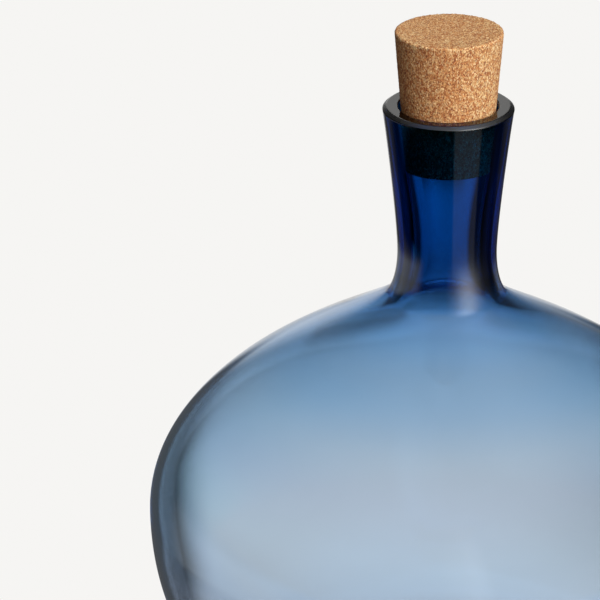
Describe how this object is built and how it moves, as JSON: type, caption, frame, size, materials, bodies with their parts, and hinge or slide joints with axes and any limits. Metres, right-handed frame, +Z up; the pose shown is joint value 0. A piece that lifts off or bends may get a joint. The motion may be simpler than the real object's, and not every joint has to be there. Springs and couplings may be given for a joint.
{
  "type": "glass carafe with cork stopper",
  "caption": "Round blown blue-glass carafe with a narrow flared thick-walled neck, closed by a tapered cork stopper that lifts out.",
  "frame": {"origin": "centre of the flat resting ring under the base", "axes": "+Z up along the axis both pieces are turned about, from the base to the mouth; X and Y are free because the part is round"},
  "size_m": [0.1692, 0.1692, 0.2015],
  "materials": {
    "blue_glass": "clear blue blown glass, deep blue in the thick neck and pale in the body, fire polished, with a ground and polished rim",
    "cork": "agglomerated cork, fine granules, matte, with small open pits"
  },
  "bodies": {
    "bottle": {"bottle": "blue_glass"},
    "stopper": {"cork_stopper": "cork"}
  },
  "joints": [
    {"name": "stopper_lift", "type": "slide", "parent": "bottle", "child": "stopper", "axis": [0, 0, 1], "range_m": [0, 0.06]}
  ]
}
